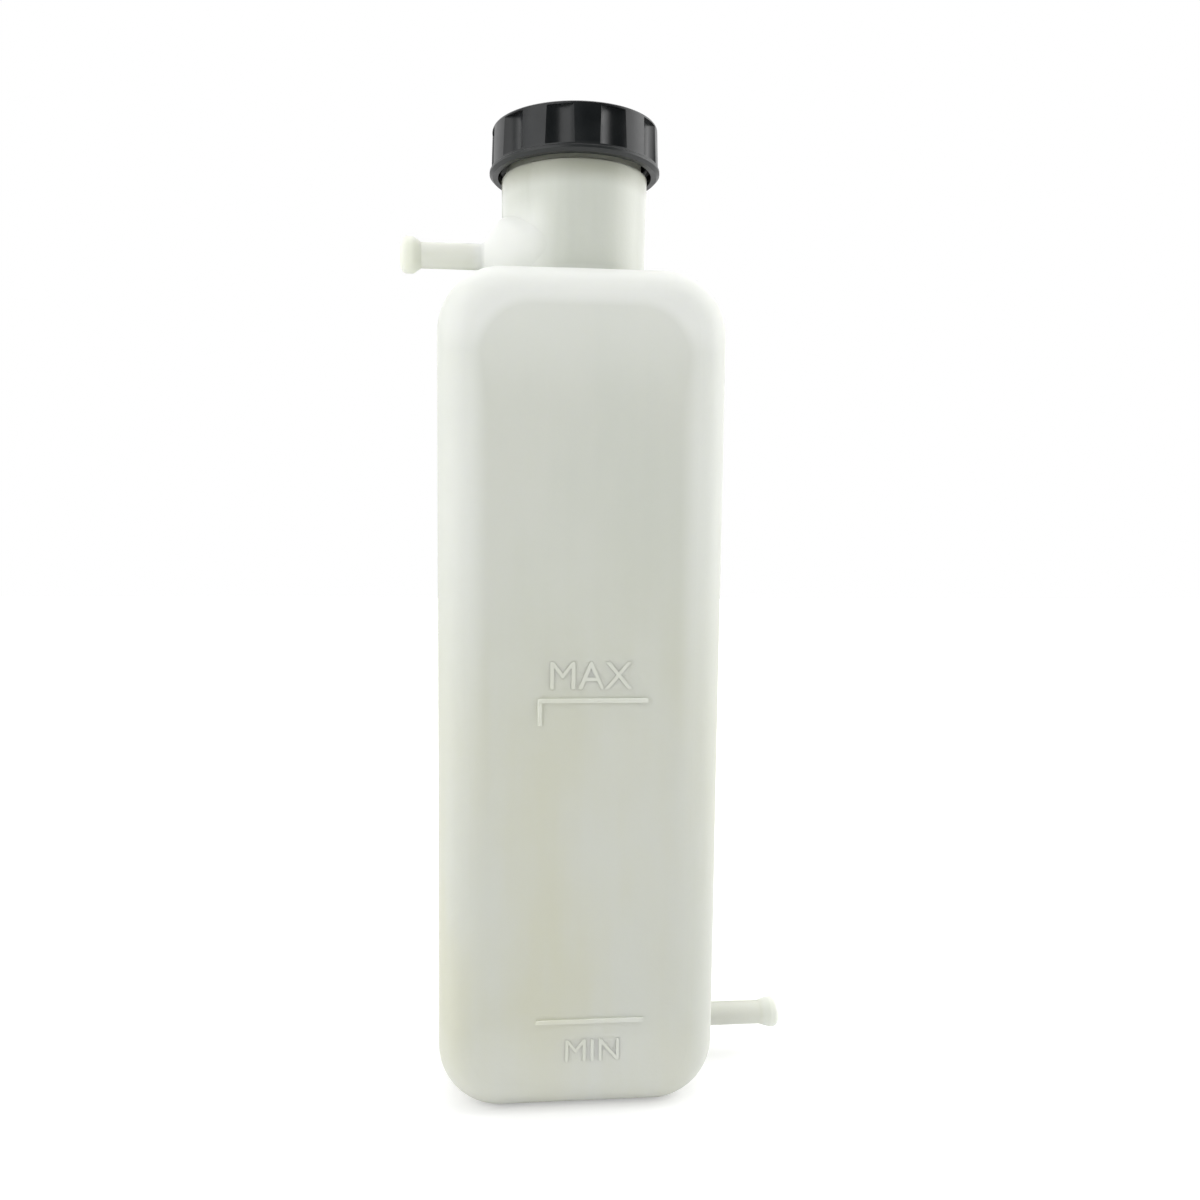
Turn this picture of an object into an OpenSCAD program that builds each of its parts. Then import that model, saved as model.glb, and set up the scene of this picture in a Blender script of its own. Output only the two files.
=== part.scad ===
// Coolant expansion tank: a blown plastic bottle with a wide filler neck,
// two hose nipples and a fluted screw cap with a sealing ring.
// Millimetres. Origin under the neck's axis at the middle of the foot,
// +Z up, front face towards -Y, upper nipple towards -X.

/* [Tank body] */
// Width across the body
body_w = 92; // [84:0.2:110]
// Height from the foot to the flat of the shoulder
body_h = 273.5; // [200:0.5:340]
// Depth from the front face to the back face
body_d = 76; // [74:0.5:100]
// Radius of the four corners seen from the front
corner_r = 20.6; // [20.5:0.1:26]
// Radius of the edges where front and back turn into the sides
edge_r = 10.2; // [6:0.1:10.2]
// Thickness of the blown wall
wall = 2; // [1.4:0.1:3]

/* [Filler neck] */
// Height from the shoulder to the lip of the neck
neck_h = 47.5; // [40:0.5:60]
// Outer radius of the neck where it leaves the shoulder
neck_root_r = 24; // [22:0.1:25]
// Outer radius of the neck just below its screw finish
neck_top_r = 24.4; // [22.8:0.1:25]
// Wall of the neck
neck_wall = 2.2; // [1.6:0.1:3]
// How far the neck's foot spreads onto the shoulder
neck_spread = 1.6; // [0.8:0.1:2]
// Height of the screw finish that the cap covers
finish_h = 11.6; // [10:0.1:14]
// Radial step from the neck down to the screw finish
finish_step = 2; // [1:0.1:2.5]
// Chamfer on the outer edge of the lip
lip_chamfer = 0.6; // [0.2:0.1:1]

/* [Upper nipple and its boss] */
// Height of the upper nipple's axis above the shoulder
vent_rise = 9.6; // [7:0.1:14]
// Distance from the neck's axis to the tip of the upper nipple
vent_reach = 58.5; // [48:0.5:80]
// Outer radius of the upper nipple's shaft
vent_shaft_r = 4.2; // [3.5:0.1:5.2]
// Largest radius of the upper nipple's hose bead
vent_bead_r = 6.05; // [5.4:0.05:7]
// Radius of the upper nipple's bore
vent_bore_r = 2.6; // [1.5:0.1:3]
// Distance from the neck's axis to the small end of the boss
boss_reach = 30.2; // [28:0.1:34]
// Radius of the boss at its small end
boss_tip_r = 5.3; // [5:0.1:6.5]
// Radius of the boss's bulging flanks, seen from above
boss_bulge_r = 36.4; // [30:0.2:44]
// Radius of the hollow flare from the nipple's shaft onto the boss
boss_flare_r = 2.5; // [1.5:0.1:4]
// Height of the boss's crown above the nipple's axis
boss_crown = 11.6; // [9:0.1:14]
// Radius of the crown's dome, seen along the nipple
boss_dome_r = 57; // [40:1:90]
// How far the flanks of the boss lie inside the neck's root radius
boss_inset = 0.4; // [0.2:0.1:1.2]

/* [Lower nipple] */
// Height of the lower nipple's axis above the foot
outlet_z = 15; // [13.5:0.5:60]
// How far the lower nipple stands out of the body's side
outlet_reach = 31.8; // [20:0.1:45]
// Outer radius of the lower nipple's shaft
outlet_shaft_r = 4.2; // [3.5:0.1:5]
// Largest radius of the lower nipple's hose bead
outlet_bead_r = 5.3; // [4.6:0.05:6.5]
// Radius of the lower nipple's bore
outlet_bore_r = 2.6; // [1.5:0.1:3]
// Radius of the flared root at the body's side
outlet_root_r = 7.2; // [5.5:0.1:9]
// Length of the flared root outside the body's side
outlet_root_l = 3.2; // [2:0.1:6]

/* [Hose beads] */
// Length of each bead from the start of its ramp to the tip of the nipple
bead_l = 7; // [6.4:0.1:9]
// Length of the straight crown where a bead is widest
bead_land = 1.2; // [0.6:0.1:1.6]
// Rounding of the upper nipple's bead at its tip
vent_nose_r = 2.4; // [1.5:0.1:2.8]
// Rounding of the lower nipple's bead at its tip
outlet_nose_r = 1.8; // [1.2:0.1:2.2]

/* [Level marks] */
// Height of the upper level mark above the foot
level_high_z = 137.5; // [90:0.5:180]
// Height of the lower level mark above the foot
level_low_z = 31.5; // [24:0.5:80]
// Length of each level mark
level_l = 35.4; // [20:0.2:50]
// Sideways place of the middle of the level marks
level_x = 3.2; // [-6:0.1:6]
// Breadth of a raised level mark
level_b = 1.4; // [0.8:0.1:2.4]
// How far a level mark stands out of the front face
level_proud = 0.6; // [0.3:0.1:1]
// Length of the short tick at the left end of the upper mark
level_tick_l = 8; // [4:0.1:12]

/* [Screw cap] */
// Radius of the cap's side under its rounded top edge
cap_top_r = 27.7; // [27.4:0.1:32]
// How much wider the cap's side is at its lower end
cap_draft = 0.4; // [0:0.1:1]
// Radius of the plain band around the cap's lower end
cap_band_r = 28.6; // [28.4:0.1:33]
// Height of the plain band
cap_band_h = 2.2; // [1.6:0.1:3.4]
// Height of the cap
cap_h = 15.4; // [14.5:0.1:20]
// Thickness of the cap's top
cap_plate = 2.1; // [1.4:0.1:3]
// Rounding of the cap's top edge
cap_edge_r = 0.8; // [0.4:0.1:0.9]
// Radial room between the neck and the cap's mouth
mouth_room = 1.4; // [0.8:0.1:1.8]
// Depth of the wide mouth before the threaded part of the skirt
mouth_h = 3.4; // [2.5:0.1:4.5]
// Radial room for the thread between the finish and the skirt
thread_room = 2.2; // [1.6:0.1:2.4]
// Height of the side left whole between the band and the flutes
flute_sill = 0.4; // [0.2:0.1:1]
// Number of finger flutes around the cap
flute_n = 10; // [8:1:12]
// Radius of one finger flute
flute_r = 8; // [6:0.5:9]
// Depth of a flute below the cap's side
flute_depth = 1.6; // [0.8:0.1:1.7]
// Thickness of the top flange that closes the flutes
flute_roof = 1; // [1:0.1:2.5]
// Turn of the flutes from the +X direction
flute_turn = 2; // [0:1:35]

/* [Sealing ring] */
// Thickness of the sealing ring
seal_t = 1.5; // [1:0.1:2.5]
// Width of the ring inwards from the neck's bore
seal_overlap = 1.8; // [0.5:0.1:4]
// Radial room between the ring and the skirt
seal_room = 0.4; // [0.2:0.1:0.6]
// Radius of the bead inside the skirt that holds the ring up
seal_bead_r = 0.7; // [0.6:0.05:0.9]

/* [Hidden] */
$fn = 96;

// Play between flat faces that meet on separate pieces
face_play = 0.1;
// Overlap that buries one form inside another before they are joined
bury = 0.5;
// Depth to which the boss's flare dips into the forms that it joins
flare_dip = 0.1;

// Sideways place of the corner arcs, and the height of the straight sides between them
corner_x = body_w / 2 - corner_r;
side_h = body_h - 2 * corner_r;

lip_z = body_h + neck_h;
finish_z = lip_z - finish_h;
finish_r = neck_top_r - finish_step;
finish_bore_r = finish_r - neck_wall;
neck_bore_r = neck_root_r - neck_wall;

vent_z = body_h + vent_rise;
// The boss's outline is an arc around this centre: radius, then distance from the small end
boss_half_w = neck_root_r - boss_inset;
bulge_in = boss_half_w - boss_bulge_r;
bulge_at = sqrt(pow(boss_bulge_r, 2) - pow(boss_tip_r - bulge_in, 2));
outlet_tip_x = body_w / 2 + outlet_reach;
outlet_drop = max(0, corner_r - outlet_z);
outlet_skin_x = corner_x + sqrt(corner_r * corner_r - outlet_drop * outlet_drop);
face_y = -body_d / 2;

seal_z = lip_z + face_play;
cap_ceiling_z = seal_z + seal_t + face_play;
cap_top_z = cap_ceiling_z + cap_plate;
cap_rim_z = cap_top_z - cap_h;
skirt_r = finish_r + thread_room;
cap_mouth_r = neck_top_r + mouth_room;
seal_bead_z = seal_z - face_play - seal_bead_r;

// Half section of the body's edge: flat front and back, rounded outer corners
module edge_section(inset) {
    reach = corner_r - inset;
    round_r = edge_r - inset;
    half_d = body_d / 2 - inset;
    translate([0, -half_d]) square([reach - round_r, 2 * half_d]);
    translate([0, round_r - half_d]) square([reach, 2 * (half_d - round_r)]);
    for (side = [-1, 1]) intersection() {
        translate([reach - round_r, side * (half_d - round_r)]) circle(round_r);
        translate([reach - round_r, side > 0 ? half_d - round_r : -half_d]) square(round_r);
    }
}

// The wall alone of that half section
module wall_section() {
    difference() {
        edge_section(0);
        edge_section(wall);
        translate([-bury, wall - body_d / 2]) square([2 * bury, body_d - 2 * wall]);
    }
}

// The hollow body: front and back plates with a walled edge swept around them
module body_shell() {
    for (y = [face_y + wall, -face_y]) translate([-corner_x, y, corner_r])
        rotate([90, 0, 0]) linear_extrude(wall) square([2 * corner_x, side_h]);
    for (top = [false, true]) {
        z = top ? body_h - corner_r : corner_r;
        translate([top ? corner_x : -corner_x, 0, z]) rotate([0, top ? -90 : 90, 0])
            linear_extrude(2 * corner_x) wall_section();
        for (right = [false, true])
            translate([right ? corner_x : -corner_x, 0, z]) rotate([90, 0, 0])
                rotate([0, 0, right ? (top ? 0 : -90) : (top ? 90 : 180)])
                    rotate_extrude(angle = 90) wall_section();
    }
    for (turn = [0, 180]) rotate([0, 0, turn]) translate([corner_x, 0, corner_r])
        linear_extrude(side_h) wall_section();
}

// The neck outside: a spread foot, a slightly tapered tube and the screw finish
module neck_form() {
    rotate_extrude() polygon([
        [0, body_h - wall / 2], [neck_root_r + neck_spread, body_h - wall / 2],
        [neck_root_r + neck_spread, body_h], [neck_root_r + neck_spread / 3, body_h + neck_spread / 3],
        [neck_root_r, body_h + neck_spread], [neck_top_r, finish_z - finish_step / 2],
        [finish_r, finish_z], [finish_r, lip_z - lip_chamfer], [finish_r - lip_chamfer, lip_z], [0, lip_z]]);
}

// The bore of the neck, narrower inside the screw finish
module neck_bore() {
    rotate_extrude() polygon([
        [0, body_h - wall - bury], [neck_bore_r, body_h - wall - bury],
        [neck_bore_r, finish_z - 2 * finish_step], [finish_bore_r, finish_z],
        [finish_bore_r, lip_z + bury], [0, lip_z + bury]]);
}

// Distance from the boss's small end at which an arc about its centre has the radius r
function bulge_start(arc_r, r) = bulge_at - sqrt(pow(arc_r, 2) - pow(r - bulge_in, 2));

// Half outline of the boss around the nipple's axis, drawn in by inset
module boss_outline(inset) {
    arc_r = boss_bulge_r - inset;
    from = bulge_start(arc_r, inset > 0 ? vent_bore_r : vent_shaft_r - flare_dip);
    intersection() {
        translate([bulge_in, bulge_at]) circle(arc_r);
        translate([0, from]) square([boss_half_w - inset, boss_reach - from]);
    }
}

// Half outline of the flare: a hollow curve from the nipple's shaft onto the boss
module flare_outline() {
    centre_r = vent_shaft_r - flare_dip + boss_flare_r;
    reach_r = boss_bulge_r + boss_flare_r - flare_dip;
    centre_at = bulge_start(reach_r, centre_r);
    share = boss_bulge_r / reach_r;
    difference() {
        translate([0, centre_at])
            square([bulge_in + share * (centre_r - bulge_in), (1 - share) * (bulge_at - centre_at)]);
        translate([centre_r, centre_at]) circle(boss_flare_r);
    }
}

// Section of the boss seen along the nipple: upright flanks under a domed crown
module boss_section(inset) {
    half_w = boss_half_w + bury;
    crown = vent_rise + boss_crown - inset;
    foot = -wall - (inset > 0 ? bury : -wall / 2);
    dome_r = boss_dome_r - inset;
    intersection() {
        translate([-half_w, foot]) square([2 * half_w, crown - foot + bury]);
        translate([0, crown - dome_r]) circle(dome_r);
    }
}

// The horn that leads from the neck to the upper nipple
module boss_form(inset) {
    intersection() {
        translate([-boss_reach, 0, vent_z]) rotate([0, 90, 0]) rotate_extrude() {
            boss_outline(inset);
            if (inset == 0) flare_outline();
        }
        translate([-vent_reach, 0, body_h]) rotate([90, 0, 90])
            linear_extrude(vent_reach + bury) boss_section(inset);
    }
}

// Point where a line from p touches the outer side of a circle further along
function touch(c, r, p) =
    let (v = p - c, a = atan2(v[1], v[0]) + acos(r / norm(v)))
    c + r * [cos(a), sin(a)];

// A nipple along +Z from its root to its tip: shaft, ramp, crown and rounded nose
module nipple_form(len, shaft_r, bead_r, nose_r) {
    crown_z = len - nose_r - bead_land;
    c = [bead_r - nose_r, crown_z];
    start = [shaft_r, len - bead_l];
    rotate_extrude() {
        square([shaft_r, crown_z]);
        polygon([[0, start[1]], start, touch(c, nose_r, start), c, [0, crown_z]]);
        translate([0, crown_z]) square([bead_r, bead_land]);
        square([bead_r - nose_r, len]);
        for (z = [crown_z, crown_z + bead_land]) translate([bead_r - nose_r, z]) circle(nose_r);
    }
}

// The lower nipple and its flared root, which start inside the body's wall
module outlet_form() {
    root_z = outlet_skin_x - corner_x;
    trim_r = corner_r - wall / 2;
    difference() {
        translate([corner_x, 0, outlet_z]) rotate([0, 90, 0]) {
            nipple_form(outlet_tip_x - corner_x, outlet_shaft_r, outlet_bead_r, outlet_nose_r);
            rotate_extrude() polygon([
                [0, 0], [outlet_root_r, 0], [outlet_root_r, root_z],
                [outlet_shaft_r, root_z + outlet_root_l], [0, root_z + outlet_root_l]]);
        }
        translate([corner_x, 0, corner_r]) {
            rotate([90, 0, 0]) cylinder(h = 4 * outlet_root_r, r = trim_r, center = true);
            translate([-bury, -2 * outlet_root_r, 0]) cube([trim_r + bury, 4 * outlet_root_r, side_h]);
        }
    }
}

module level_mark(z) {
    translate([level_x - level_l / 2, face_y - level_proud, z - level_b / 2])
        cube([level_l, level_proud + wall / 2, level_b]);
}

module tank() {
    color([0.86, 0.87, 0.82]) difference() {
        union() {
            body_shell();
            neck_form();
            boss_form(0);
            translate([-neck_bore_r, 0, vent_z]) rotate([0, -90, 0])
                nipple_form(vent_reach - neck_bore_r, vent_shaft_r, vent_bead_r, vent_nose_r);
            outlet_form();
            level_mark(level_high_z);
            level_mark(level_low_z);
            translate([level_x - level_l / 2, face_y - level_proud, level_high_z - level_tick_l])
                cube([level_b, level_proud + wall / 2, level_tick_l]);
        }
        neck_bore();
        boss_form(wall);
        translate([-vent_reach - bury, 0, vent_z]) rotate([0, 90, 0])
            cylinder(h = vent_reach, r = vent_bore_r);
        translate([corner_x, 0, outlet_z]) rotate([0, 90, 0])
            cylinder(h = outlet_tip_x - corner_x + bury, r = outlet_bore_r);
    }
}

// Half section of the cap: a drafted skirt, a plain band and a rounded top edge
module cap_section() {
    low_r = cap_top_r + cap_draft;
    band_z = cap_rim_z + cap_band_h;
    ease = cap_band_r - low_r;
    difference() {
        union() {
            polygon([
                [0, cap_rim_z], [cap_band_r - 2 * ease, cap_rim_z], [cap_band_r, cap_rim_z + 2 * ease],
                [cap_band_r, band_z - ease], [low_r, band_z], [cap_top_r, cap_top_z - cap_edge_r],
                [cap_top_r - cap_edge_r, cap_top_z], [0, cap_top_z]]);
            translate([cap_top_r - cap_edge_r, cap_top_z - cap_edge_r]) circle(cap_edge_r);
        }
        polygon([
            [0, cap_rim_z - bury], [cap_mouth_r, cap_rim_z - bury], [cap_mouth_r, cap_rim_z + mouth_h],
            [skirt_r, cap_rim_z + mouth_h + mouth_room], [skirt_r, cap_ceiling_z], [0, cap_ceiling_z]]);
    }
    translate([skirt_r, seal_bead_z]) circle(seal_bead_r);
}

module screw_cap() {
    flute_z = cap_rim_z + cap_band_h + flute_sill;
    color([0.09, 0.1, 0.11]) difference() {
        rotate_extrude() cap_section();
        for (i = [0 : flute_n - 1])
            rotate([0, 0, flute_turn + i * 360 / flute_n])
                translate([cap_top_r - flute_depth + flute_r, 0, flute_z])
                    cylinder(h = cap_top_z - flute_roof - flute_z, r = flute_r);
    }
}

module sealing_ring() {
    color([0.2, 0.2, 0.21]) translate([0, 0, seal_z]) difference() {
        cylinder(h = seal_t, r = skirt_r - seal_room);
        translate([0, 0, -bury]) cylinder(h = seal_t + 2 * bury, r = finish_bore_r - seal_overlap);
    }
}

tank();
screw_cap();
sealing_ring();
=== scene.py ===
import math

import bpy
from bpy.props import (
    FloatProperty, FloatVectorProperty, IntProperty, PointerProperty, StringProperty,
)
from mathutils import Matrix, Vector


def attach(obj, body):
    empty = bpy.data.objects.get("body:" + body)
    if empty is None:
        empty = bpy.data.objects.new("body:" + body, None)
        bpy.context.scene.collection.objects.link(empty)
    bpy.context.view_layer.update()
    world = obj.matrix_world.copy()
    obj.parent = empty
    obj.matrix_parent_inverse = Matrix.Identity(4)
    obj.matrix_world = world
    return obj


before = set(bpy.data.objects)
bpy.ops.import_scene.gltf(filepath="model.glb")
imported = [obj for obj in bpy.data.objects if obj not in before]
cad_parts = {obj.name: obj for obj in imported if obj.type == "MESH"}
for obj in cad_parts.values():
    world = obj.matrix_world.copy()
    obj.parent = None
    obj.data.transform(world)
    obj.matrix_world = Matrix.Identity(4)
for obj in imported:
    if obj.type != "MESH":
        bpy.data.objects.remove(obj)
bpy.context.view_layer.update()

bl_info = {
    "name": "Coolant Tank Finish",
    "version": (1, 0, 0),
    "blender": (4, 5, 0),
    "location": "3D View > Sidebar > Coolant Tank",
    "description": "Gives a blown coolant tank its plastic, parting line, threads and studio",
    "category": "Object",
}

RAISED = "raised polyethylene"

# The tank's own sizes, in metres, as its construction has them.
BODY_HALF_W = 0.046
BODY_H = 0.2735
CORNER_R = 0.0206
CORNER_X = BODY_HALF_W - CORNER_R
EDGE_R = 0.0102
FACE_Y = -0.038
NECK_ROOT_R = 0.024
NECK_TOP_R = 0.0244
NECK_SPREAD = 0.0016
FINISH_Z = 0.3094
FINISH_R = 0.0224
LIP_Z = 0.321
SKIRT_R = 0.0246
VENT_Z = 0.2831
VENT_SHAFT_R = 0.0042
VENT_BEAD_START_X = -0.0515
BOSS_REACH = 0.0302
BOSS_TIP_R = 0.0053
BOSS_HALF_W = 0.0236
BOSS_BULGE_R = 0.0364
BOSS_FLARE_R = 0.0025
BOSS_CROWN = 0.0116
FLARE_DIP = 0.0001
OUTLET_Z = 0.015
OUTLET_SHAFT_R = 0.0042
OUTLET_SHAFT_X = 0.0487
OUTLET_BEAD_START_X = 0.0708
LEVEL_WORDS = {"upper_level_word": (0.0027, 0.1455), "lower_level_word": (0.0042, 0.0214)}
THREAD_START_Z = LIP_Z - 0.0095
SEAM_TOP_Z = FINISH_Z - 0.001
SEAM_END_OVER_OUTLET = 0.007

# The runs of height over which the tone changes, in metres. Besides the lower wall's own tone, most
# of them place painted light and shade: the brighter foot, rim, shoulder and level marks, the
# painted highlight beside the boss, the painted shade under the cap and the painted sheen on the
# cap's band.
# A run may go down.
FOOT_RUN = (0.040, 0.010)
LOW_WALL_RUN = (0.05, 0.23)
MARK_RUN = (0.05, 0.12)
RIM_RUN = (0.06, 0.22)
RIM_TOP_RUN = (0.232, 0.256)
UPPER_RUN = (0.225, 0.262)
SHOULDER_RUN = (0.256, 0.271)
CALM_RUN = (BODY_H - 0.004, BODY_H)
OVER_RUN = (BODY_H + 0.0005, BODY_H + 0.003)
HORN_RUN = (VENT_Z + BOSS_CROWN + 0.006, VENT_Z + BOSS_CROWN - 0.006)
CAP_SHADE_RUN = (FINISH_Z - 0.009, FINISH_Z - 0.002)
SEAM_END_RUN = (FINISH_Z, FINISH_Z - 0.0005)
CAP_BAND_RUN = (FINISH_Z + 0.0034, FINISH_Z + 0.002)

# The runs of depth, then those of width and of distance from the neck's axis.
EDGE_Y = -FACE_Y - EDGE_R
SIDE_TO_FRONT = (EDGE_Y - 0.004, -FACE_Y - 0.002)
EDGE_TO_FRONT = (EDGE_Y + 0.001, -FACE_Y)
PROUD_OF_FRONT = (FACE_Y - 0.0001, FACE_Y - 0.0004)
BESIDE_SEAM = (0.0004, 0.0007)
ALONG_HORN = (-0.007, -0.017)
ALONG_OUTLET = (BODY_HALF_W, BODY_HALF_W + 0.002)
BESIDE_NECK = (NECK_TOP_R + 0.0002, NECK_TOP_R + 0.002)
VENT_SHAFT = (BOSS_REACH + 0.001, -VENT_BEAD_START_X)
OUTLET_SHAFT = (BODY_HALF_W + 0.0005, OUTLET_BEAD_START_X)

# How much of the painted light each place has, the brightness painted where light shines through
# the thinner wall or the lamps light it.
FOOT_SHARE = 0.35
LOW_MARK_HIGHLIGHT_SHARE = 0.4
RIM_SHARES = (0.12, 0.62)
RIM_TOP_SHARE = 0.95
UPPER_SHARE = 0.45
SIDE_SHARE = 0.4
OUTLET_SHARE = 0.8
HORN_SHEEN_SHARE = 0.85

# The noises: how fine each is, how detailed, and how far it is drawn out along the height.
CLOUD = (26.0, 3.0, 0.35)
FLOW = (160.0, 2.0, 0.05)
CLOUD_SHARE, FLOW_SHARE = 0.82, 0.18
BLOWN_DULLNESS = (90.0, 2.0)
WAVES = (75.0, 1.0, 0.4)
PEEL = (900.0, 2.0)
STREAKS = (420.0, 1.0, 0.02)
HAZE = (70.0, 5.0)
CAP_DULLNESS = (240.0, 3.0)
CAP_SINK = (120.0, 1.0)
CAP_GRAIN = (2600.0, 2.0)
BLOOM = (300.0, 4.0)
RUBBER_GRAIN = (1800.0, 2.0)
FLOOR_CLOUD = (3.0, 2.0)

# The part of a noise's run that is drawn out to the whole.
NOISE_RUN = (0.3, 0.7)
CLOUD_RUN = (0.36, 0.64)
HAZE_RUN = (0.35, 0.72)
BLOOM_RUN = (0.4, 0.7)

# How deep the relief of a noise is, in metres, and its strength where no setting gives it.
WAVE_DEPTH = 0.0004
PEEL_DEPTH = 0.00006
STREAK_DEPTH = 0.00004
SINK_DEPTH = 0.00015
SINK_STRENGTH = 0.25
GRAIN_DEPTH = 0.00003
RUBBER_GRAIN_STRENGTH = 0.5

# How far the roughness strays from its setting, how much rougher the cap's lower band is, and
# how rough the rubber is without and with its bloom.
BLOWN_STRAY = (-0.02, 0.04)
CAP_STRAY = (-0.02, 0.05)
BAND_ROUGHER = 0.06
RUBBER_ROUGHNESS = (0.62, 0.74)

# The flat panel of front and back: how far its corners are drawn in, and where the painted light on
# its rim fades.
PANEL_INSET = 0.009
PANEL_FADE_IN = 0.0062
PANEL_FADE_OUT = 0.0004

# The letters, in parts of their height.
LETTER = {
    "size": 1.0,
    "extrude": 0.004,
    "bevel_depth": 0.016,
    "bevel_resolution": 2,
    "offset": -0.012,
    "resolution_u": 5,
}

# The beads of the parting line, and the distance at which points are welded.
BEAD_SIDES = 8
ARC_STEP = 6
SEAM_FOOT_ARC = 60
WELD = 1e-6

# The threads: how deep they sit in their wall, and how their ends run out into it.
THREAD_BURY = 0.0002
RUN_OUT_LENGTH = 0.003
RUN_OUT_SINK = 0.72
RUN_OUT_END = 0.35
END_FACING = 0.9
SMOOTH_ANGLE = math.radians(35)

# The lamps: place, width and height, in metres.
LEFT_LAMP = ((-0.60, -0.525, 0.40), 0.78, 1.2)
RIGHT_LAMP = ((0.80, -0.06, 0.40), 0.68, 1.2)
TOP_LAMP = ((0, 0.05, 1.05), 0.7, 0.5)
LAMP_TARGET = (0, 0, 0.17)

# The room turns from dim to pale over this run of depth, and reflections show less of its dim
# side. The floor's clouds are slightly darker than the rest of it.
ROOM_RUN = (-0.4, 0.4)
REFLECTION_SHADE = 0.85
FLOOR_SHADE = 0.97


# Helpers

def choose(thing):
    """Leaves this object alone selected and active."""
    bpy.ops.object.select_all(action="DESELECT")
    thing.select_set(True)
    bpy.context.view_layer.objects.active = thing


def settle(thing, name, body, finish):
    """Names a finished piece, applies its place, paints it and lets it ride on its body."""
    choose(thing)
    bpy.ops.object.transform_apply(location=True, rotation=True, scale=True)
    thing.name = name
    thing.data.name = name
    thing.data.materials.clear()
    thing.data.materials.append(finish)
    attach(thing, body)
    return thing


def repaint(node_name, finish):
    """Gives a carried-over node its finish."""
    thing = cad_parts[node_name]
    for slot in thing.material_slots:
        slot.material = finish
    return thing


def add(tree, kind, inputs=None, **settings):
    """A node with its settings. Its inputs are values or the outputs of other nodes."""
    made = tree.nodes.new(kind)
    for name, value in settings.items():
        setattr(made, name, value)
    for name, value in (inputs or {}).items():
        if isinstance(value, bpy.types.NodeSocket):
            tree.links.new(value, made.inputs[name])
        else:
            made.inputs[name].default_value = value
    return made


def noise(tree, place, scale, detail, squeeze=1.0):
    """Noise on the piece's own coordinates, drawn out along the height by a squeeze under 1."""
    drawn = add(tree, "ShaderNodeMapping", {"Vector": place, "Scale": (1, 1, squeeze)})
    made = add(
        tree, "ShaderNodeTexNoise",
        {"Vector": drawn.outputs["Vector"], "Scale": scale, "Detail": detail},
    )
    return made.outputs["Fac"]


def remap(tree, value, low, high, to_low=0.0, to_high=1.0):
    """The value's run from low to high, eased and laid onto another run."""
    made = add(
        tree, "ShaderNodeMapRange",
        {"Value": value, "From Min": low, "From Max": high, "To Min": to_low, "To Max": to_high},
        interpolation_type="SMOOTHSTEP",
    )
    return made.outputs["Result"]


def maths(tree, operation, a, b=0.0):
    """The outcome of one operation on two values or outputs."""
    made = add(tree, "ShaderNodeMath", operation=operation)
    for socket, value in zip(made.inputs, (a, b)):
        if isinstance(value, bpy.types.NodeSocket):
            tree.links.new(value, socket)
        else:
            socket.default_value = value
    return made.outputs[0]


def times(tree, a, b):
    """The product of two values or outputs."""
    return maths(tree, "MULTIPLY", a, b)


def rest(tree, value):
    """What the value leaves of one."""
    return maths(tree, "SUBTRACT", 1.0, value)


def past(tree, value, limit):
    """How far the value lies past its limit, and nothing before it."""
    return maths(tree, "MAXIMUM", maths(tree, "SUBTRACT", value, limit))


def span(tree, a, b):
    """The distance that two sides at right angles make."""
    squares = maths(tree, "ADD", maths(tree, "POWER", a, 2.0), maths(tree, "POWER", b, 2.0))
    return maths(tree, "SQRT", squares)


def window(tree, value, low, high, rise=0.005, fall=0.002):
    """One between low and high and nothing beyond them, with soft ends of these lengths."""
    return times(tree, remap(tree, value, low, low + rise), remap(tree, value, high + fall, high))


def tint(tree, factor, under, over):
    """The colour under, turned into the colour over as the factor rises."""
    made = add(tree, "ShaderNodeMix", data_type="RGBA")
    for index, value in ((0, factor), (6, under), (7, over)):
        socket = made.inputs[index]
        if isinstance(value, bpy.types.NodeSocket):
            tree.links.new(value, socket)
        else:
            socket.default_value = value if index == 0 else (*value[:3], 1.0)
    return made.outputs[2]


def relief(tree, height, depth, strength, below=None):
    """A bump of this depth in metres, laid over the bump below it."""
    inputs = {"Height": height, "Distance": depth, "Strength": strength}
    if below is not None:
        inputs["Normal"] = below
    return add(tree, "ShaderNodeBump", inputs).outputs["Normal"]


def new_finish(name):
    """A new material, its tree, its shader and the piece's own coordinates."""
    finish = bpy.data.materials.new(name)
    finish.use_nodes = True
    tree = finish.node_tree
    place = add(tree, "ShaderNodeTexCoord").outputs["Object"]
    return finish, tree, tree.nodes["Principled BSDF"], place


# Finishes

def neck_share(tree, x, y, z, over):
    """One on the neck, which is kept out of the painted light, and little on the boss and on the
    neck beside it, which get painted light. Over is one up there.
    """
    beside = remap(tree, span(tree, x, y), *BESIDE_NECK)
    # Beside the boss the neck's share falls, so the painted light reaches there: a painted
    # highlight where the lamp shows in the wall.
    horn_sheen = times(tree, remap(tree, x, *ALONG_HORN), remap(tree, z, *HORN_RUN))
    alone = times(tree, over, rest(tree, beside))
    return times(tree, alone, rest(tree, times(tree, horn_sheen, HORN_SHEEN_SHARE)))


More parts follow.
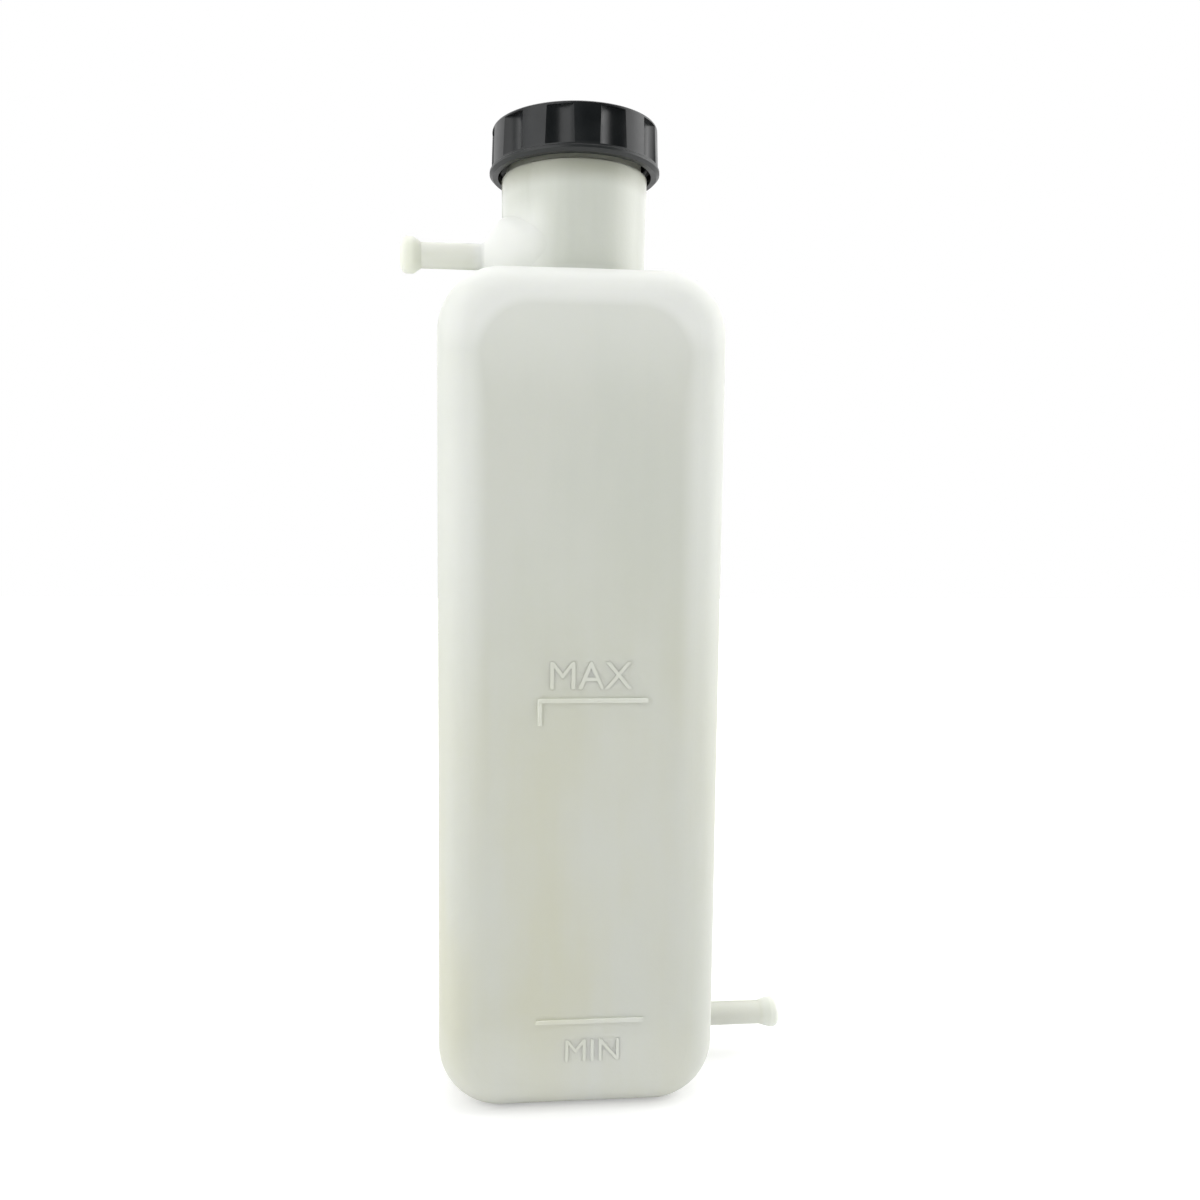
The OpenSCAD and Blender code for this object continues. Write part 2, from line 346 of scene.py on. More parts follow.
def thin_lit_share(tree, x, y, z, over, neck, mark_highlight_share, seam_light_share):
    """Painted light: how much brighter the wall is painted at rim, shoulder, foot, outlet, marks
    and parting line, where light shines through the thinner wall or the lamps light it.
    """
    aside, out = maths(tree, "ABSOLUTE", x), maths(tree, "ABSOLUTE", y)
    # Painted light on the panel's rim: its rounded edges and top corners are painted brighter,
    # where the lamps light them and light comes through the side wall.
    panel_r = CORNER_R - EDGE_R + PANEL_INSET
    across = past(tree, aside, CORNER_X - PANEL_INSET)
    above = past(tree, z, BODY_H - CORNER_R - PANEL_INSET)
    rim = remap(tree, span(tree, across, above), panel_r - PANEL_FADE_IN, panel_r + PANEL_FADE_OUT)
    rim = times(tree, rim, remap(tree, out, *EDGE_TO_FRONT))
    rim_top = remap(tree, z, *RIM_TOP_RUN, 0.0, RIM_TOP_SHARE)
    rim = times(tree, rim, maths(tree, "MAXIMUM", remap(tree, z, *RIM_RUN, *RIM_SHARES), rim_top))

    # Painted light from above: the shoulder and upper wall are painted brighter, less so towards
    # the sides, and the foot is painted brighter too.
    face = maths(tree, "MAXIMUM", over, remap(tree, out, *SIDE_TO_FRONT, SIDE_SHARE, 1.0))
    shoulder = times(tree, times(tree, remap(tree, z, *SHOULDER_RUN), rest(tree, neck)), face)
    upper = times(tree, remap(tree, z, *UPPER_RUN, 0.0, UPPER_SHARE), face)
    foot = remap(tree, z, *FOOT_RUN, 0.0, FOOT_SHARE)

    # Painted highlight: the proud level marks are painted brighter, less so low down.
    proud = remap(tree, y, *PROUD_OF_FRONT)
    marks = times(tree, proud, remap(tree, z, *MARK_RUN, LOW_MARK_HIGHLIGHT_SHARE * mark_highlight_share, mark_highlight_share))
    # The outlet nipple is painted brighter too.
    outlet = remap(tree, aside, *ALONG_OUTLET, 0.0, OUTLET_SHARE)
    # Painted light: the parting line's bead is painted brighter to lift it out of the shade it gets
    # where it meets the wall.
    seam = remap(tree, out, *BESIDE_SEAM, seam_light_share, 0.0)
    seam = times(tree, seam, remap(tree, z, *SEAM_END_RUN))

    thin_lit = times(tree, maths(tree, "MAXIMUM", upper, foot), rest(tree, neck))
    for part in (rim, shoulder, marks, outlet, seam):
        thin_lit = maths(tree, "MAXIMUM", thin_lit, part)
    return thin_lit


def milky_plastic(name, look, depth_weight, mark_highlight_share, seam_light_share):
    """Natural blown polyethylene: milky and cloudy where it is thick, painted brighter where light
    shines through the thinner wall or the lamps light it, and painted darker under the cap.
    """
    finish, tree, shader, place = new_finish(name)
    split = add(tree, "ShaderNodeSeparateXYZ", {"Vector": place})
    x, y, z = (split.outputs[axis] for axis in "XYZ")
    aside = maths(tree, "ABSOLUTE", x)
    over = remap(tree, z, *OVER_RUN)
    neck = neck_share(tree, x, y, z, over)
    thin_lit = thin_lit_share(tree, x, y, z, over, neck, mark_highlight_share, seam_light_share)
    # Painted light on the nipple shafts: a yellower tone, painted lighter to make up for the lamp
    # light that hardly reaches them.
    vent = times(tree, over, window(tree, aside, *VENT_SHAFT))
    lit_shaft = maths(tree, "MAXIMUM", vent, window(tree, aside, *OUTLET_SHAFT))
    # Painted shade: the neck is painted darker just under the cap, where the cap shades it.
    cap_shade = times(tree, neck, remap(tree, z, *CAP_SHADE_RUN))

    cloud = times(tree, noise(tree, place, *CLOUD), CLOUD_SHARE)
    flow = times(tree, noise(tree, place, *FLOW), FLOW_SHARE)
    patch = maths(tree, "ADD", cloud, flow)
    base = tint(tree, remap(tree, z, *LOW_WALL_RUN), look.low_colour, look.colour)
    # Over the tone and its real clouds go the painted light on the wall and the nipples and the
    # painted shade under the cap.
    for factor, tone in (
        (remap(tree, patch, *CLOUD_RUN), look.cloud_colour),
        (thin_lit, look.thin_lit_colour),
        (lit_shaft, look.shaft_lit_colour),
        (cap_shade, look.cap_shade_colour),
    ):
        base = tint(tree, factor, base, tone)
    tree.links.new(base, shader.inputs["Base Color"])

    shader.inputs["Subsurface Weight"].default_value = depth_weight
    shader.inputs["Subsurface Radius"].default_value = (1.0, 1.0, 0.92)
    shader.inputs["Subsurface Scale"].default_value = look.depth
    shader.inputs["IOR"].default_value = 1.5
    shader.inputs["Specular IOR Level"].default_value = look.gloss
    least, most = (look.roughness + stray for stray in BLOWN_STRAY)
    rough = remap(tree, noise(tree, place, *BLOWN_DULLNESS), *NOISE_RUN, least, most)
    rough = maths(tree, "SUBTRACT", rough, times(tree, neck, look.neck_polish))
    tree.links.new(rough, shader.inputs["Roughness"])
    tree.links.new(times(tree, neck, look.neck_coat), shader.inputs["Coat Weight"])
    shader.inputs["Coat Roughness"].default_value = 0.22

    slow = times(tree, noise(tree, place, *WAVES), rest(tree, remap(tree, z, *CALM_RUN)))
    waves = relief(tree, slow, WAVE_DEPTH, look.wave)
    peel = relief(tree, noise(tree, place, *PEEL), PEEL_DEPTH, look.peel, waves)
    streaks = relief(tree, noise(tree, place, *STREAKS), STREAK_DEPTH, look.peel, peel)
    tree.links.new(streaks, shader.inputs["Normal"])
    return finish


def black_plastic(look):
    """Moulded black polypropylene: satin, with a fine spark-eroded grain, a little dust haze, and a
    painted sheen on its rougher lower band.
    """
    finish, tree, shader, place = new_finish("black moulded plastic")
    haze = remap(tree, noise(tree, place, *HAZE), *HAZE_RUN)
    height = add(tree, "ShaderNodeSeparateXYZ", {"Vector": place}).outputs["Z"]
    # Painted sheen: the lower band is painted lighter for the reflections it catches, and is
    # rougher.
    band = remap(tree, height, *CAP_BAND_RUN)
    base = tint(tree, haze, look.colour, look.haze_colour)
    tree.links.new(tint(tree, band, base, look.band_sheen_colour), shader.inputs["Base Color"])
    least, most = (look.roughness + stray for stray in CAP_STRAY)
    rough = remap(tree, noise(tree, place, *CAP_DULLNESS), *NOISE_RUN, least, most)
    rough = maths(tree, "ADD", rough, times(tree, band, BAND_ROUGHER))
    tree.links.new(rough, shader.inputs["Roughness"])
    sink = relief(tree, noise(tree, place, *CAP_SINK), SINK_DEPTH, SINK_STRENGTH)
    grain = relief(tree, noise(tree, place, *CAP_GRAIN), GRAIN_DEPTH, look.grain, sink)
    tree.links.new(grain, shader.inputs["Normal"])
    return finish


def seal_rubber(look):
    """Moulded rubber: matte, with a powdery bloom."""
    finish, tree, shader, place = new_finish("seal rubber")
    bloom = remap(tree, noise(tree, place, *BLOOM), *BLOOM_RUN)
    grain = relief(tree, noise(tree, place, *RUBBER_GRAIN), GRAIN_DEPTH, RUBBER_GRAIN_STRENGTH)
    base = tint(tree, bloom, look.rubber_colour, look.bloom_colour)
    tree.links.new(base, shader.inputs["Base Color"])
    tree.links.new(remap(tree, bloom, 0.0, 1.0, *RUBBER_ROUGHNESS), shader.inputs["Roughness"])
    tree.links.new(grain, shader.inputs["Normal"])
    return finish


# Settings

def length(name, default, description):
    """A length, in metres."""
    return FloatProperty(
        name=name, default=default, min=0.0, unit="LENGTH", subtype="DISTANCE", precision=5,
        description=description,
    )


def share(name, default, description):
    """A plain number from nothing upwards, mostly up to one."""
    return FloatProperty(name=name, default=default, min=0.0, soft_max=1.0, description=description)


def colour(name, default, description):
    """A colour in linear light."""
    return FloatVectorProperty(
        name=name, default=default, size=3, min=0.0, max=1.0, subtype="COLOR",
        description=description,
    )


def power(name, default, description):
    """A lamp's power, in watts."""
    return FloatProperty(name=name, default=default, min=0.0, unit="POWER", description=description)


def turn(name, degrees, description):
    """An angle, given in degrees."""
    angle = math.radians(degrees)
    return FloatProperty(name=name, default=angle, unit="ROTATION", description=description)


class BottleLook(bpy.types.PropertyGroup):
    """The blown plastic of the bottle."""

    colour: colour("Plastic", (0.595, 0.617, 0.560), "Colour of the wall where it is thick")
    low_colour: colour("Low plastic", (0.608, 0.612, 0.506), "Colour of the thick wall lower down")
    cloud_colour: colour("Cloud", (0.622, 0.638, 0.580), "Colour of the cloudy patches in the wall")
    # Painted light: the colour where light shines through the thinner wall or the lamps light it.
    thin_lit_colour: colour("Thin wall", (0.785, 0.805, 0.755), "Colour where the wall is thin")
    # The nipples' yellower tone, painted lighter for the lamp light they lack.
    shaft_lit_colour: colour("Nipples", (0.745, 0.76, 0.68), "Colour of the nipples' shafts")
    # Painted shade of the cap on the neck below it.
    cap_shade_colour: colour("Under the cap", (0.39, 0.40, 0.335), "Colour of the neck under the cap")
    depth_weight: share("Milkiness", 1.0, "How much of the light goes into the wall")
    depth: length("Depth", 0.004, "How far light travels inside the wall")
    gloss: share("Gloss", 0.18, "Strength of the waxy gloss")
    neck_coat: share("Neck gloss", 0.42, "Extra gloss of the neck, which the mould polishes")
    neck_polish: share("Neck polish", 0.14, "How much less rough the neck is")
    roughness: share("Roughness", 0.46, "Roughness of the blown surface")
    wave: share("Waves", 0.35, "Strength of the slow waves in the wall")
    peel: share("Peel", 0.5, "Strength of the fine peel and of the drawn streaks")


class MouldLook(bpy.types.PropertyGroup):
    """The parting line and the raised words."""

    line_r: length("Parting line", 0.00016, "Radius of the bead that the parting line leaves")
    high_word: StringProperty(
        name="Upper word", default="MAX", description="Word over the upper level mark",
    )
    low_word: StringProperty(
        name="Lower word", default="MIN", description="Word under the lower level mark",
    )
    high_h: length("Upper letters", 0.0088, "Height of the letters over the upper mark")
    low_h: length("Lower letters", 0.0074, "Height of the letters under the lower mark")
    proud: length("Relief", 0.00018, "How far the letters stand out of the front face")


class ThreadLook(bpy.types.PropertyGroup):
    """The screw threads of neck and cap."""

    lead: length("Lead", 0.005, "Rise of the thread in one turn, as the cap's joints have it")
    turns: FloatProperty(
        name="Turns", default=1.4, min=0.5, max=1.6, description="Turns of each thread",
    )
    root_w: length("Root width", 0.0024, "Width of a thread at its root")
    crest_w: length("Crest width", 0.0009, "Width of a thread at its crest")
    height: length("Height", 0.0016, "Height of a thread over its wall")
    steps: IntProperty(
        name="Steps", default=72, min=24, max=144, description="Faces round one turn",
    )


class CapLook(bpy.types.PropertyGroup):
    """The cap's plastic and its seal."""

    colour: colour("Plastic", (0.0035, 0.0048, 0.0055), "Colour of the cap")
    haze_colour: colour("Haze", (0.009, 0.011, 0.012), "Colour of the dust haze on the cap")
    # A painted sheen: lighter than the cap, for the reflections that the lower band catches.
    band_sheen_colour: colour("Band", (0.016, 0.018, 0.018), "Colour of the cap's scuffed lower band")
    rubber_colour: colour("Rubber", (0.024, 0.024, 0.025), "Colour of the sealing ring")
    bloom_colour: colour("Bloom", (0.040, 0.042, 0.046), "Colour of the bloom on the sealing ring")
    roughness: share("Roughness", 0.305, "Roughness of the cap")
    grain: share("Grain", 0.6, "Strength of the moulded grain")


class StageLook(bpy.types.PropertyGroup):
    """The floor, the lamps and the camera."""

    floor_size: length("Floor", 6.0, "Width of the floor")
    floor_colour: colour("Floor colour", (0.80, 0.80, 0.80), "Colour of the floor")
    floor_lift: share("Floor lift", 0.30, "White that the camera sees over the floor's own light")
    shadow_reach: length("Shadow reach", 0.45, "Distance at which the camera sees a white floor")
    room_back: share("Room behind", 1.22, "Light of the pale room behind the tank")
    room_front: share("Room in front", 0.53, "Light of the dim room in front of the tank")
    left_power: power("Left lamp", 4.4, "Power of the left lamp")
    right_power: power("Right lamp", 4.7, "Power of the right lamp")
    top_power: power("Top lamp", 2.0, "Power of the lamp overhead")
    lens: FloatProperty(
        name="Lens", default=32.46, min=1.0, unit="CAMERA",
        description="Focal length of the camera",
    )
    camera: FloatVectorProperty(
        name="Camera", default=(-0.0417, -0.37664, 0.18897), size=3,
        subtype="TRANSLATION", unit="LENGTH", precision=5, description="Place of the camera",
    )
    pan: turn("Pan", -5.56, "Turn of the camera to the left")
    tilt: turn("Tilt", -5.46, "Tilt of the camera upwards")
    roll: turn("Roll", 0.43, "Roll of the camera")
    shift: FloatVectorProperty(
        name="Shift", default=(0.0366, 0.0344), size=2, description="Shift of the camera's frame",
    )


# Bottle

class TANK_OT_bottle(bpy.types.Operator):
    """Give the blown bottle its milky plastic"""

    bl_idname = "coolant_tank.bottle"
    bl_label = "Bottle"

    def execute(self, context):
        look = context.scene.bottle_look
        # The tank's level marks get a faint painted highlight.
        repaint("tank", milky_plastic("milky polyethylene", look, look.depth_weight, 0.05, 0.0))
        # The raised pieces get painted light on the parting line's bead and no highlight on the
        # marks.
        milky_plastic(RAISED, look, 0.0, 0.0, 1.0)
        return {"FINISHED"}


def swept_bead(radius, start, heading, moves):
    """A thin round bead in the parting plane, from start towards heading by runs and arcs."""
    aim = Vector((heading[0], 0, heading[1]))
    bpy.ops.object.select_all(action="DESELECT")
    bpy.ops.mesh.primitive_circle_add(
        vertices=BEAD_SIDES, radius=radius, fill_type="NGON", location=(start[0], 0, start[1]),
        rotation=aim.to_track_quat("Z", "Y").to_euler(),
    )
    bpy.ops.object.transform_apply(location=True, rotation=True, scale=True)
    bead = bpy.context.active_object
    bpy.ops.object.mode_set(mode="EDIT")
    bpy.ops.mesh.select_all(action="SELECT")
    for kind, *values in moves:
        if kind == "run":
            step = (values[0], 0, values[1])
            bpy.ops.mesh.extrude_region_move(TRANSFORM_OT_translate={"value": step})
        else:
            centre, angle = values
            bpy.ops.mesh.spin(
                steps=max(3, round(abs(angle) / ARC_STEP)), angle=-math.radians(angle),
                center=(centre[0], 0, centre[1]), axis=(0, 1, 0),
            )
    bpy.ops.mesh.select_all(action="SELECT")
    bpy.ops.mesh.remove_doubles(threshold=WELD)
    bpy.ops.mesh.fill_holes(sides=BEAD_SIDES)
    bpy.ops.mesh.normals_make_consistent(inside=False)
    bpy.ops.object.mode_set(mode="OBJECT")
    return bead


class TANK_OT_parting_line(bpy.types.Operator):
    """Run the thin bead of the mould's parting line round the bottle, its neck and nipples"""

    bl_idname = "coolant_tank.parting_line"
    bl_label = "Parting Line"

    def execute(self, context):
        look = context.scene.mould_look
        low, high = CORNER_R, BODY_H - CORNER_R
        vent_top, vent_foot = VENT_Z + VENT_SHAFT_R, VENT_Z - VENT_SHAFT_R
        bulge_in = BOSS_HALF_W - BOSS_BULGE_R
        bulge_x = math.sqrt(BOSS_BULGE_R ** 2 - (BOSS_TIP_R - bulge_in) ** 2) - BOSS_REACH
        flare_in = VENT_SHAFT_R - FLARE_DIP + BOSS_FLARE_R
        flare_turn = math.acos((flare_in - bulge_in) / (BOSS_BULGE_R + BOSS_FLARE_R - FLARE_DIP))
        flare_x = bulge_x - (flare_in - bulge_in) * math.tan(flare_turn)
        crown_turn = math.acos((BOSS_CROWN - bulge_in) / BOSS_BULGE_R)
        crown_x = bulge_x - (BOSS_CROWN - bulge_in) * math.tan(crown_turn)
        crown_z = VENT_Z + BOSS_CROWN
        sink_turn = math.acos((VENT_Z - BODY_H - bulge_in) / BOSS_BULGE_R)
        neck_h = SEAM_TOP_Z - BODY_H
        crown_neck_r = NECK_ROOT_R + (NECK_TOP_R - NECK_ROOT_R) * (crown_z - BODY_H) / neck_h
        flare, bulge = math.degrees(flare_turn), math.degrees(flare_turn - crown_turn)
        dip = math.degrees(flare_turn - sink_turn)
        vent_run, outlet_run = VENT_BEAD_START_X - flare_x, OUTLET_BEAD_START_X - OUTLET_SHAFT_X
        courses = (
            # left side, from the foot's curve up to the boss
            ((-BODY_HALF_W, low), (0, 1), [("run", 0, high - low), ("arc", (-CORNER_X, high), 90)]),
            ((-BODY_HALF_W, low), (0, -1), [("arc", (-CORNER_X, low), -SEAM_FOOT_ARC)]),
            # boss and upper nipple
            ((flare_x, vent_top - FLARE_DIP), (1, 0), [
                ("arc", (flare_x, VENT_Z + flare_in), -flare),
                ("arc", (bulge_x, VENT_Z + bulge_in), bulge)]),
            ((flare_x, vent_foot + FLARE_DIP), (1, 0), [
                ("arc", (flare_x, VENT_Z - flare_in), flare),
                ("arc", (bulge_x, VENT_Z - bulge_in), -dip)]),
            ((crown_x, crown_z), (1, 0), [("run", -crown_neck_r - crown_x, 0)]),
            ((flare_x, vent_top), (-1, 0), [("run", vent_run, 0)]),
            ((flare_x, vent_foot), (-1, 0), [("run", vent_run, 0)]),
            # neck
            ((-crown_neck_r, crown_z), (0, 1), [
                ("run", crown_neck_r - NECK_TOP_R, SEAM_TOP_Z - crown_z)]),
            ((NECK_ROOT_R, BODY_H + NECK_SPREAD), (0, 1), [
                ("run", NECK_TOP_R - NECK_ROOT_R, SEAM_TOP_Z - BODY_H - NECK_SPREAD)]),
            # shoulder and right side, down to the lower nipple
            ((CORNER_X, BODY_H), (1, 0), [
                ("arc", (CORNER_X, high), 90), ("run", 0, OUTLET_Z + SEAM_END_OVER_OUTLET - high)]),
            ((OUTLET_SHAFT_X, OUTLET_Z + OUTLET_SHAFT_R), (1, 0), [("run", outlet_run, 0)]),
            ((OUTLET_SHAFT_X, OUTLET_Z - OUTLET_SHAFT_R), (1, 0), [("run", outlet_run, 0)]),
        )
        beads = [swept_bead(look.line_r, *course) for course in courses]
        bpy.ops.object.select_all(action="DESELECT")
        for bead in beads:
            bead.select_set(True)
        bpy.context.view_layer.objects.active = beads[0]
        bpy.ops.object.join()
        line = bpy.context.active_object
        bpy.ops.object.shade_smooth()
        settle(line, "parting_line", "bottle", bpy.data.materials[RAISED])
        return {"FINISHED"}


def raised_word(name, word, height, proud, centre):
    """A word moulded on the front face, its letters with softened edges."""
    bpy.ops.object.select_all(action="DESELECT")
    bpy.ops.object.text_add(location=(0, 0, 0))
    text = bpy.context.active_object
    text.data.body = word
    text.data.align_x = "CENTER"
    text.data.align_y = "CENTER"
    for setting, value in LETTER.items():
        setattr(text.data, setting, value)
    bpy.ops.object.convert(target="MESH")
    letters = bpy.context.active_object
    box = [Vector(corner) for corner in letters.bound_box]
    low = Vector([min(corner[i] for corner in box) for i in range(3)])
    high = Vector([max(corner[i] for corner in box) for i in range(3)])
    scale = height / (high.y - low.y)
    middle = (low + high) / 2
    depth = 2 * proud / (high.z - low.z)
    letters.matrix_world = (
        Matrix.Translation((centre[0], FACE_Y, centre[1]))
        @ Matrix.Rotation(math.radians(90), 4, "X")
        @ Matrix.Diagonal((scale, scale, depth, 1))
        @ Matrix.Translation((-middle.x, -middle.y, -middle.z))
    )
    choose(letters)
    bpy.ops.object.transform_apply(location=True, rotation=True, scale=True)
    bpy.ops.object.mode_set(mode="EDIT")
    bpy.ops.mesh.select_all(action="SELECT")
    bpy.ops.mesh.remove_doubles(threshold=WELD)
    bpy.ops.mesh.normals_make_consistent(inside=False)
    bpy.ops.object.mode_set(mode="OBJECT")
    return settle(letters, name, "bottle", bpy.data.materials[RAISED])


class TANK_OT_level_words(bpy.types.Operator):
    """Raise a plain word beside each level mark"""

    bl_idname = "coolant_tank.level_words"
    bl_label = "Level Words"

    def execute(self, context):
        look = context.scene.mould_look
        words = ((look.high_word, look.high_h), (look.low_word, look.low_h))
        for (name, centre), (word, height) in zip(LEVEL_WORDS.items(), words):
            raised_word(name, word, height, look.proud, centre)
        return {"FINISHED"}


# Threads

def screw_thread(look, wall_r, outward, phase):
    """A right-handed thread on a round wall: a tapered section turned up round the axis."""
    root = wall_r - THREAD_BURY * outward
    crest = wall_r + look.height * outward
    middle = (root + crest) / 2
    bpy.ops.object.select_all(action="DESELECT")
    bpy.ops.mesh.primitive_plane_add(
        size=1.0, location=(middle, 0, THREAD_START_Z), rotation=(math.radians(90), 0, 0),
    )
    thread = bpy.context.active_object
    thread.scale = (abs(crest - root), look.root_w, 1)
    bpy.ops.object.transform_apply(location=True, rotation=True, scale=True)
    bpy.ops.object.mode_set(mode="EDIT")
    bpy.ops.mesh.select_all(action="DESELECT")
    bpy.ops.object.mode_set(mode="OBJECT")
    for corner in thread.data.vertices:
        corner.select = (corner.co.x - middle) * outward > 0
    bpy.ops.object.mode_set(mode="EDIT")
    bpy.ops.transform.resize(value=(1, 1, look.crest_w / look.root_w))
    bpy.ops.object.mode_set(mode="OBJECT")

    turned = thread.modifiers.new("Turn", "SCREW")
    turned.axis = "Z"
    turned.angle = 2 * math.pi * look.turns
    turned.screw_offset = look.lead * look.turns
    turned.steps = turned.render_steps = round(look.steps * look.turns)
    turned.use_normal_calculate = True
    bpy.ops.object.modifier_apply(modifier=turned.name)

    bpy.ops.object.mode_set(mode="EDIT")
    bpy.ops.mesh.select_all(action="SELECT")
    bpy.ops.mesh.remove_doubles(threshold=WELD)
    bpy.ops.mesh.select_all(action="SELECT")
    bpy.ops.mesh.fill_holes(sides=4)
    bpy.ops.mesh.normals_make_consistent(inside=False)
    bpy.ops.object.mode_set(mode="OBJECT")
    thread.data.transform(Matrix.Rotation(math.radians(phase), 4, "Z"))
    thread.data.update()
    run_out(thread, look, outward)
    choose(thread)
    bpy.ops.object.shade_smooth_by_angle(angle=SMOOTH_ANGLE)
    return thread


def run_out(thread, look, outward):
    """Draws both ends of a thread out into its wall."""
    ends = [face.index for face in thread.data.polygons if is_end(thread.data, face)]
    for index in ends:
        choose(thread)
        face = thread.data.polygons[index]
        centre, aim = face.center.copy(), face.normal.copy()
        bpy.ops.object.mode_set(mode="EDIT")
        bpy.ops.mesh.select_all(action="DESELECT")
        bpy.ops.object.mode_set(mode="OBJECT")
        thread.data.polygons[index].select = True
        bpy.ops.object.mode_set(mode="EDIT")
        sink = -outward * look.height * RUN_OUT_SINK
        step = aim * RUN_OUT_LENGTH + Vector((centre.x, centre.y, 0)).normalized() * sink
        bpy.ops.mesh.extrude_region_move(TRANSFORM_OT_translate={"value": step})
        bpy.ops.transform.resize(value=(RUN_OUT_END, RUN_OUT_END, RUN_OUT_END))
        bpy.ops.object.mode_set(mode="OBJECT")


def is_end(mesh, face):
    """True for a thread's end face, which looks along the turn."""
    along = Vector((-face.center.y, face.center.x, 0)).normalized()
    return abs(face.normal.dot(along)) > END_FACING


class TANK_OT_neck_thread(bpy.types.Operator):
    """Turn the screw thread round the neck's finish"""

    bl_idname = "coolant_tank.neck_thread"
    bl_label = "Neck Thread"

    def execute(self, context):
        thread = screw_thread(context.scene.thread_look, FINISH_R, 1, 0)
        settle(thread, "neck_thread", "bottle", bpy.data.materials[RAISED])
        return {"FINISHED"}


class TANK_OT_cap_thread(bpy.types.Operator):
    """Turn the screw thread inside the cap's skirt, half a lead away from the neck's"""

    bl_idname = "coolant_tank.cap_thread"
    bl_label = "Cap Thread"

    def execute(self, context):
        thread = screw_thread(context.scene.thread_look, SKIRT_R, -1, 180)
        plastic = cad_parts["screw_cap"].material_slots[0].material
        settle(thread, "cap_thread", "cap", plastic)
        return {"FINISHED"}


# Cap and seal

class TANK_OT_cap(bpy.types.Operator):
    """Give the cap its black plastic"""

    bl_idname = "coolant_tank.cap"
    bl_label = "Cap"

    def execute(self, context):
        repaint("screw_cap", black_plastic(context.scene.cap_look))
        return {"FINISHED"}


class TANK_OT_seal(bpy.types.Operator):
    """Give the sealing ring its rubber"""

    bl_idname = "coolant_tank.seal"
    bl_label = "Sealing Ring"

    def execute(self, context):
        repaint("sealing_ring", seal_rubber(context.scene.cap_look))
        return {"FINISHED"}


# Stage

def lamp(name, place, width, height, watts):
    """A flat soft lamp that looks at the middle of the bottle."""
    aim = (Vector(LAMP_TARGET) - Vector(place)).to_track_quat("-Z", "Y").to_euler()
    bpy.ops.object.light_add(type="AREA", location=place, rotation=aim)
    made = bpy.context.active_object
    made.name = name
    made.data.shape = "RECTANGLE"
    made.data.size = width
    made.data.size_y = height
    made.data.energy = watts


def pale_floor(look):
    """A pale floor that keeps the shadow, lifted to white for the camera."""
    finish, tree, shader, place = new_finish("pale floor")
    cloud = remap(tree, noise(tree, place, *FLOOR_CLOUD), *NOISE_RUN)
    shaded = tuple(FLOOR_SHADE * part for part in look.floor_colour)
    tree.links.new(tint(tree, cloud, look.floor_colour, shaded), shader.inputs["Base Color"])
    shader.inputs["Roughness"].default_value = 0.9
    shader.inputs["Specular IOR Level"].default_value = 0.1
    shader.inputs["Emission Color"].default_value = (1, 1, 1, 1)
    seen = add(tree, "ShaderNodeLightPath").outputs["Is Camera Ray"]
    reach = add(tree, "ShaderNodeVectorMath", {0: place}, operation="LENGTH").outputs["Value"]
    lift = remap(tree, reach, look.shadow_reach / 2, look.shadow_reach, look.floor_lift, 1.0)
    tree.links.new(times(tree, seen, lift), shader.inputs["Emission Strength"])
    return finish


def white_room(look):
    """A room that is pale behind the object and dim in front, and white to the camera."""
    world = bpy.data.worlds.new("white room")
    world.use_nodes = True
    tree = world.node_tree
    paths = add(tree, "ShaderNodeLightPath").outputs
    seen = maths(tree, "MAXIMUM", paths["Is Camera Ray"], paths["Is Transmission Ray"])
    heading = add(tree, "ShaderNodeTexCoord").outputs["Generated"]
    depth = add(tree, "ShaderNodeSeparateXYZ", {"Vector": heading}).outputs["Y"]
    gloss = times(tree, paths["Is Glossy Ray"], REFLECTION_SHADE)
    front = times(tree, rest(tree, gloss), look.room_front)
    behind = remap(tree, depth, *ROOM_RUN)
    room = add(tree, "ShaderNodeMix", {"Factor": behind, "A": front, "B": look.room_back})
    strength = add(tree, "ShaderNodeMix", {"Factor": seen, "A": room.outputs["Result"], "B": 1.0})
    back = tree.nodes["Background"]
    back.inputs["Color"].default_value = (1, 1, 1, 1)
    tree.links.new(strength.outputs["Result"], back.inputs["Strength"])
    bpy.context.scene.world = world


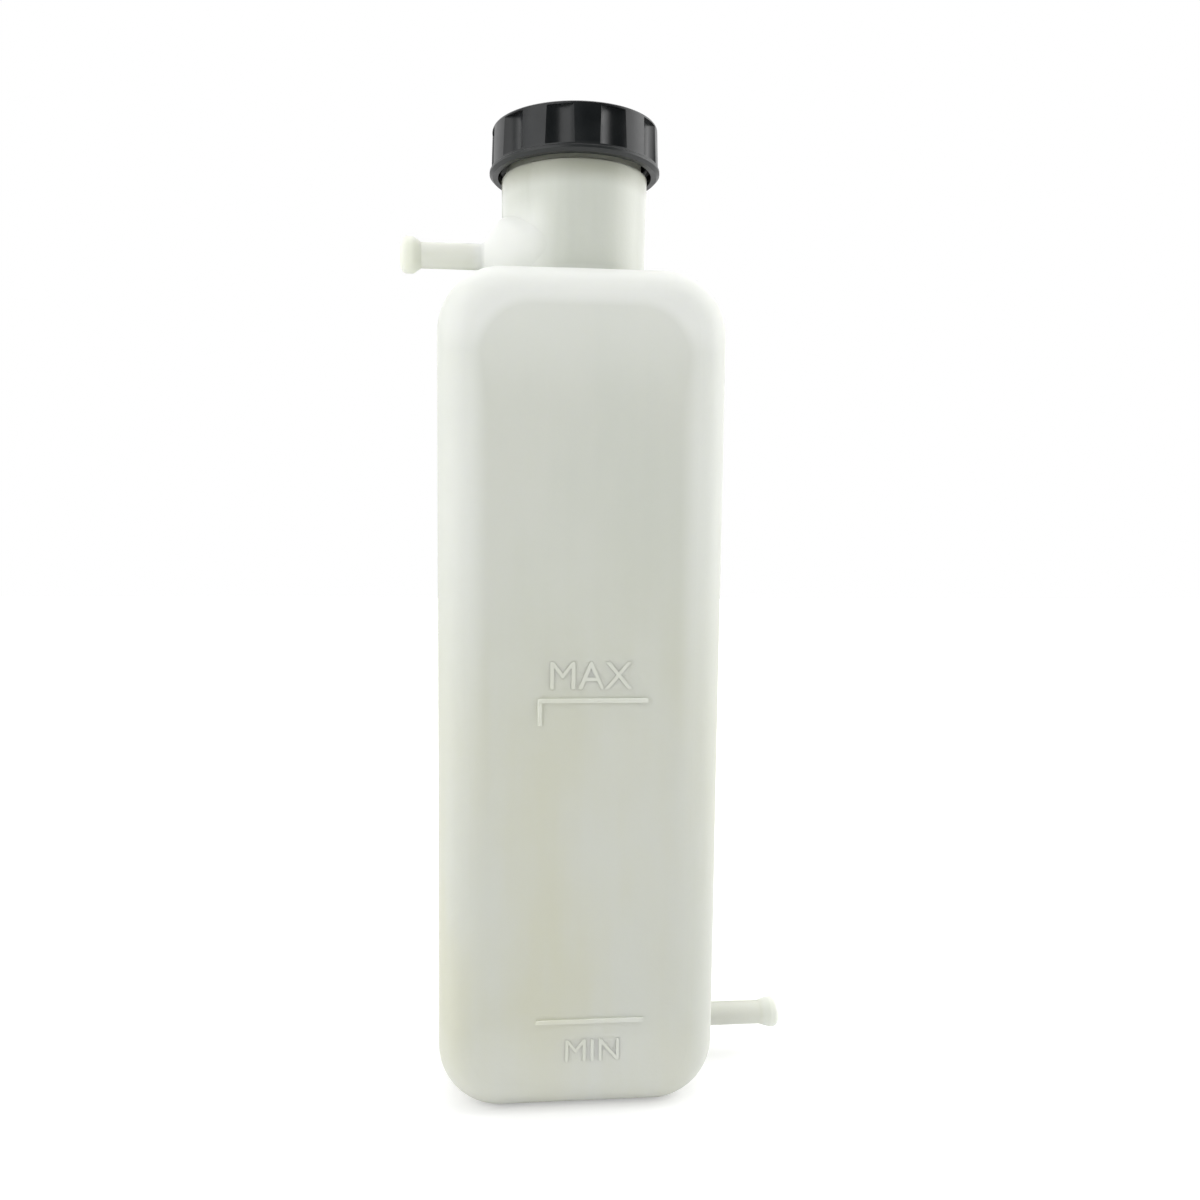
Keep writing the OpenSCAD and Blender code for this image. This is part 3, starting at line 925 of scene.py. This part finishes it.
class TANK_OT_stage(bpy.types.Operator):
    """Set up the floor, the lamps and the camera"""

    bl_idname = "coolant_tank.stage"
    bl_label = "Stage"

    def execute(self, context):
        look = context.scene.stage_look
        bpy.ops.object.select_all(action="DESELECT")
        bpy.ops.mesh.primitive_plane_add(size=look.floor_size, location=(0, 0, 0))
        floor = context.active_object
        floor.name = "floor"
        floor.data.materials.append(pale_floor(look))

        white_room(look)
        lamp("left softbox", *LEFT_LAMP, look.left_power)
        lamp("right softbox", *RIGHT_LAMP, look.right_power)
        lamp("top softbox", *TOP_LAMP, look.top_power)

        aim = (
            Matrix.Rotation(look.pan, 3, "Z")
            @ Matrix.Rotation(math.radians(90) + look.tilt, 3, "X")
            @ Matrix.Rotation(look.roll, 3, "Z")
        )
        bpy.ops.object.camera_add(location=look.camera, rotation=aim.to_euler())
        camera = context.active_object
        camera.data.lens = look.lens
        camera.data.sensor_width = 36.0
        camera.data.shift_x, camera.data.shift_y = look.shift
        camera.data.clip_start = 0.01
        context.scene.camera = camera
        context.scene.view_settings.view_transform = "Standard"
        return {"FINISHED"}


# Panel

OPERATORS = (
    TANK_OT_stage,
    TANK_OT_bottle,
    TANK_OT_parting_line,
    TANK_OT_level_words,
    TANK_OT_cap,
    TANK_OT_seal,
    TANK_OT_neck_thread,
    TANK_OT_cap_thread,
)

LOOKS = {
    "bottle_look": BottleLook,
    "mould_look": MouldLook,
    "thread_look": ThreadLook,
    "cap_look": CapLook,
    "stage_look": StageLook,
}


class TANK_PT_panel(bpy.types.Panel):
    """The steps that dress the coolant tank, and their settings"""

    bl_idname = "TANK_PT_panel"
    bl_label = "Coolant Tank"
    bl_space_type = "VIEW_3D"
    bl_region_type = "UI"
    bl_category = "Coolant Tank"

    def draw(self, context):
        for step in OPERATORS:
            self.layout.operator(step.bl_idname)
        for name, group in LOOKS.items():
            box = self.layout.box()
            box.label(text=group.__doc__)
            for setting in group.__annotations__:
                box.prop(getattr(context.scene, name), setting)


CLASSES = (*LOOKS.values(), *OPERATORS, TANK_PT_panel)


def register():
    for made in CLASSES:
        bpy.utils.register_class(made)
    for name, group in LOOKS.items():
        setattr(bpy.types.Scene, name, PointerProperty(type=group))


def unregister():
    for name in LOOKS:
        delattr(bpy.types.Scene, name)
    for made in reversed(CLASSES):
        bpy.utils.unregister_class(made)


def main():
    """Dresses the tank step by step."""
    register()
    for step in OPERATORS:
        group, name = step.bl_idname.split(".")
        getattr(getattr(bpy.ops, group), name)()


if __name__ == "__main__":
    main()
